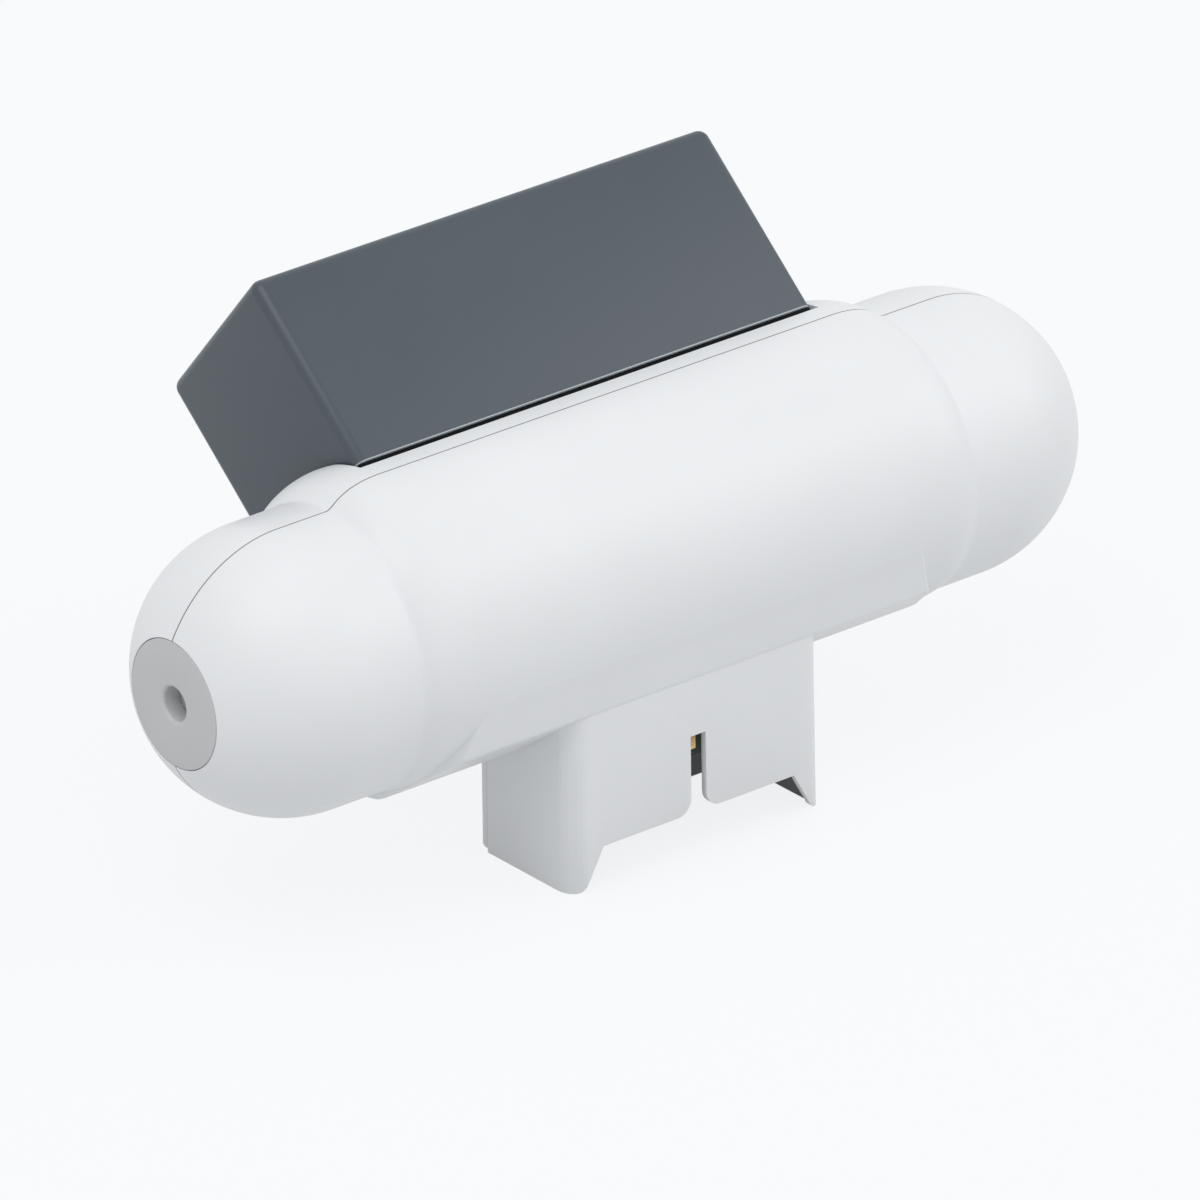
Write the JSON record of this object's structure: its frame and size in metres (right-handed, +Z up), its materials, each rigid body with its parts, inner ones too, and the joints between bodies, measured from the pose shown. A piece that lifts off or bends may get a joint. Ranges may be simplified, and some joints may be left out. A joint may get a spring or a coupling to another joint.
{
  "type": "carbon dioxide detector",
  "caption": "White capsule-shaped gas detector on a slotted docking foot, with grey air-port discs at both ends and a dark box cover over its sensor module on the rear shoulder.",
  "frame": {"origin": "middle of the foot rim, on the seam plane between the two shells", "axes": "+X along the capsule, to the right seen from the front; -Y is the front; +Z up"},
  "size_m": [0.22, 0.0988, 0.119],
  "materials": {
    "shell_white": "fine satin moulded white",
    "plug_grey": "fine matt light grey",
    "filter_felt": "pressed fibre disc",
    "cover_grey": "satin slate grey, lightly textured",
    "gasket_rubber": "black foam rubber",
    "tray_plastic": "satin light grey",
    "board_green": "dark green solder mask",
    "bench_gold": "gold-washed metal",
    "steel": "bright plated steel",
    "clamp_plastic": "dark moulded plastic",
    "chip_black": "black moulding compound",
    "contact_gold": "gold-plated pads",
    "capacitor_blue": "shrink sleeve",
    "climate_metal": "small metal lid",
    "ribbon_film": "amber film cable",
    "socket_ivory": "ivory nylon"
  },
  "bodies": {
    "housing": {"front_shell": "shell_white", "rear_shell": "shell_white", "left_end_plug": "plug_grey", "right_end_plug": "plug_grey", "left_filter": "filter_felt", "right_filter": "filter_felt", "cover_gasket": "gasket_rubber", "module_tray": "tray_plastic", "sensor_board": "board_green", "optical_bench": "bench_gold", "infrared_lamp": "steel", "detector_can": "steel", "bench_clamps": "clamp_plastic", "bench_membrane": "filter_felt", "signal_chips": "chip_black", "main_board": "board_green", "edge_contacts": "contact_gold", "microcontroller": "chip_black", "radio_shield": "steel", "capacitors": "capacitor_blue", "voltage_regulator": "chip_black", "climate_sensor": "climate_metal", "link_ribbon": "ribbon_film", "link_sockets": "socket_ivory", "shell_screws": "steel", "board_screws": "steel", "tray_screws": "steel"},
    "cover": {"module_cover": "cover_grey"}
  },
  "joints": [
    {"name": "cover_lift", "type": "slide", "parent": "housing", "child": "cover", "axis": [0, 0.7615, 0.6481], "range_m": [0, 0.05]}
  ]
}
